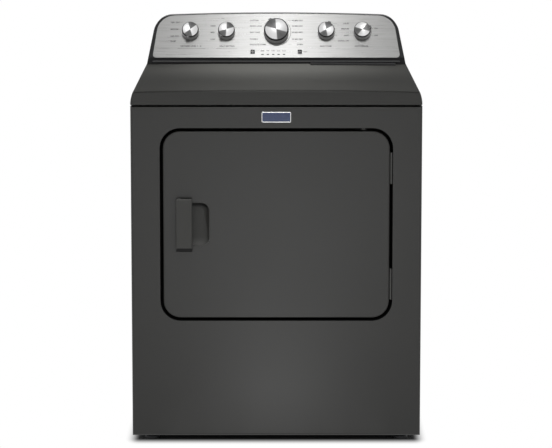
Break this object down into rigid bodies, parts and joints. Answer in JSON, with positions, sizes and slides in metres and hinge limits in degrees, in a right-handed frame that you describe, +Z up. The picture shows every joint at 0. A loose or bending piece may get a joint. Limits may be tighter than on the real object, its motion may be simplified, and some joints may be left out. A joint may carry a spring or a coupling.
{
  "type": "clothes dryer",
  "caption": "Free-standing clothes dryer with a top console, knobs, a side-hung front door, a belt-driven drum, a lint screen in the top and a rear exhaust.",
  "frame": {"origin": "on the floor under the middle of the whole object's box", "axes": "+Z up, the door faces -Y, the exhaust leaves along +Y, +X is the right seen from the front"},
  "size_m": [0.7404, 0.744, 1.0664],
  "materials": {
    "cabinet_paint": "satin dark grey enamel",
    "galvanised_steel": "zinc-coated sheet",
    "fascia_metal": "brushed across",
    "console_plastic": "moulded, fine grain",
    "knob_metal": "metallised, spun face",
    "button_plastic": "moulded",
    "lens_plastic": "clear smoke",
    "plate_enamel": "gloss enamel",
    "inner_plastic": "moulded",
    "drum_enamel": "powder coat",
    "baffle_plastic": "moulded",
    "black_rubber": "moulded",
    "felt": "pressed felt",
    "motor_steel": "enamelled",
    "bright_steel": "machined",
    "duct_plastic": "moulded",
    "aluminised_steel": "pressed",
    "switch_plastic": "moulded",
    "plunger_plastic": "moulded",
    "circuit_board": "coated laminate",
    "mesh_cloth": "woven mesh"
  },
  "bodies": {
    "cabinet": {"front_panel": "cabinet_paint", "side_panel_left": "cabinet_paint", "side_panel_right": "cabinet_paint", "top_panel": "cabinet_paint", "rear_panel": "galvanised_steel", "base_pan": "galvanised_steel", "front_bulkhead": "galvanised_steel", "rear_bulkhead": "galvanised_steel", "terminal_cover": "galvanised_steel", "console_back_cover": "galvanised_steel", "fascia": "fascia_metal", "console_housing": "console_plastic", "indicator_lenses": "lens_plastic", "name_plate": "plate_enamel", "drum_belt": "black_rubber", "felt_seals": "felt", "motor_housing": "motor_steel", "roller_shafts": "bright_steel", "panel_screws": "bright_steel", "idler_spring": "bright_steel", "heater_element": "bright_steel", "hinge_brackets": "bright_steel", "lint_chute": "duct_plastic", "blower_housing": "duct_plastic", "heater_box": "aluminised_steel", "exhaust_pipe": "aluminised_steel", "rotary_switches": "switch_plastic", "door_switch": "switch_plastic", "door_catch": "switch_plastic", "thermostats": "switch_plastic", "terminal_block": "switch_plastic", "control_board": "circuit_board"},
    "door": {"door_outer_panel": "cabinet_paint", "door_inner_panel": "inner_plastic", "door_handle": "cabinet_paint", "door_seal": "black_rubber", "door_strike": "bright_steel", "door_hinges": "bright_steel"},
    "door_switch_plunger": {"door_switch_plunger": "plunger_plastic"},
    "drum": {"drum": "drum_enamel", "drum_baffles": "baffle_plastic"},
    "support_roller_left": {"support_roller_left": "black_rubber"},
    "support_roller_right": {"support_roller_right": "black_rubber"},
    "rotor": {"motor_shaft": "bright_steel", "blower_wheel": "duct_plastic"},
    "idler_arm": {"idler_arm": "bright_steel"},
    "idler_pulley": {"idler_pulley": "duct_plastic"},
    "start_button": {"start_button": "button_plastic"},
    "option_button": {"option_button": "button_plastic"},
    "lint_screen": {"lint_screen_frame": "duct_plastic", "lint_screen_mesh": "mesh_cloth"},
    "cycle_knob": {"cycle_knob": "knob_metal"},
    "dryness_knob": {"dryness_knob": "knob_metal"},
    "heat_knob": {"heat_knob": "knob_metal"},
    "signal_knob": {"signal_knob": "knob_metal"},
    "tumble_knob": {"tumble_knob": "knob_metal"},
    "foot_front_left": {"foot_front_left": "black_rubber"},
    "foot_front_right": {"foot_front_right": "black_rubber"},
    "foot_rear_left": {"foot_rear_left": "black_rubber"},
    "foot_rear_right": {"foot_rear_right": "black_rubber"}
  },
  "joints": [
    {"name": "door_hinge", "type": "hinge", "parent": "cabinet", "child": "door", "pos_m": [0.2925, -0.3465, 0.57], "axis": [0, 0, 1], "range_deg": [0, 105]},
    {"name": "door_switch_press", "type": "slide", "parent": "cabinet", "child": "door_switch_plunger", "axis": [0, -1, 0], "range_m": [0, 0.004]},
    {"name": "drum_spin", "type": "hinge", "parent": "cabinet", "child": "drum", "pos_m": [0, -0.059, 0.545], "axis": [0, 1, 0], "continuous": true},
    {"name": "roller_left_spin", "type": "hinge", "parent": "cabinet", "child": "support_roller_left", "pos_m": [-0.20333, 0.166, 0.25461], "axis": [0, 1, 0], "continuous": true},
    {"name": "roller_right_spin", "type": "hinge", "parent": "cabinet", "child": "support_roller_right", "pos_m": [0.20333, 0.166, 0.25461], "axis": [0, 1, 0], "continuous": true},
    {"name": "motor_spin", "type": "hinge", "parent": "cabinet", "child": "rotor", "pos_m": [0.15, -0.02, 0.13], "axis": [0, 1, 0], "continuous": true},
    {"name": "idler_pivot", "type": "hinge", "parent": "cabinet", "child": "idler_arm", "pos_m": [-0.02345, -0.0305, 0.17284], "axis": [0, 1, 0], "range_deg": [0, 10], "stiffness_Nm_per_rad": 2, "springref_deg": -20.05, "deforming": ["idler_spring"]},
    {"name": "idler_spin", "type": "hinge", "parent": "idler_arm", "child": "idler_pulley", "pos_m": [0.04424, -0.038, 0.14056], "axis": [0, 1, 0], "continuous": true},
    {"name": "cycle_knob_turn", "type": "hinge", "parent": "cabinet", "child": "cycle_knob", "pos_m": [0, 0.2831, 1.01586], "axis": [0, 0.8988, -0.4384], "continuous": true},
    {"name": "dryness_knob_turn", "type": "hinge", "parent": "cabinet", "child": "dryness_knob", "pos_m": [-0.237, 0.2831, 1.01586], "axis": [0, 0.8988, -0.4384], "range_deg": [0, 135]},
    {"name": "heat_knob_turn", "type": "hinge", "parent": "cabinet", "child": "heat_knob", "pos_m": [-0.1375, 0.2831, 1.01586], "axis": [0, 0.8988, -0.4384], "range_deg": [0, 102]},
    {"name": "signal_knob_turn", "type": "hinge", "parent": "cabinet", "child": "signal_knob", "pos_m": [0.1375, 0.2831, 1.01586], "axis": [0, 0.8988, -0.4384], "range_deg": [0, 132]},
    {"name": "tumble_knob_turn", "type": "hinge", "parent": "cabinet", "child": "tumble_knob", "pos_m": [0.237, 0.2831, 1.01586], "axis": [0, 0.8988, -0.4384], "range_deg": [0, 34]},
    {"name": "start_button_press", "type": "slide", "parent": "cabinet", "child": "start_button", "axis": [0, 0.8988, -0.4384], "range_m": [0, 0.0015], "stiffness_N_per_m": 400},
    {"name": "option_button_press", "type": "slide", "parent": "cabinet", "child": "option_button", "axis": [0, 0.8988, -0.4384], "range_m": [0, 0.0015], "stiffness_N_per_m": 400},
    {"name": "lint_screen_lift", "type": "slide", "parent": "cabinet", "child": "lint_screen", "axis": [0, 0, 1], "range_m": [0, 0.42]},
    {"name": "foot_front_left_screw", "type": "slide", "parent": "cabinet", "child": "foot_front_left", "axis": [0, 0, -1], "range_m": [0, 0.012]},
    {"name": "foot_front_right_screw", "type": "slide", "parent": "cabinet", "child": "foot_front_right", "axis": [0, 0, -1], "range_m": [0, 0.012]},
    {"name": "foot_rear_left_screw", "type": "slide", "parent": "cabinet", "child": "foot_rear_left", "axis": [0, 0, -1], "range_m": [0, 0.012]},
    {"name": "foot_rear_right_screw", "type": "slide", "parent": "cabinet", "child": "foot_rear_right", "axis": [0, 0, -1], "range_m": [0, 0.012]}
  ],
  "couplings": [
    {"joint": "door_switch_press", "follows": "door_hinge", "m_per_rad": 0.0021805},
    {"joint": "roller_left_spin", "follows": "drum_spin", "ratio": -10.062},
    {"joint": "roller_right_spin", "follows": "drum_spin", "ratio": -10.062},
    {"joint": "motor_spin", "follows": "drum_spin", "ratio": 23.963},
    {"joint": "idler_spin", "follows": "drum_spin", "ratio": -16.25}
  ]
}
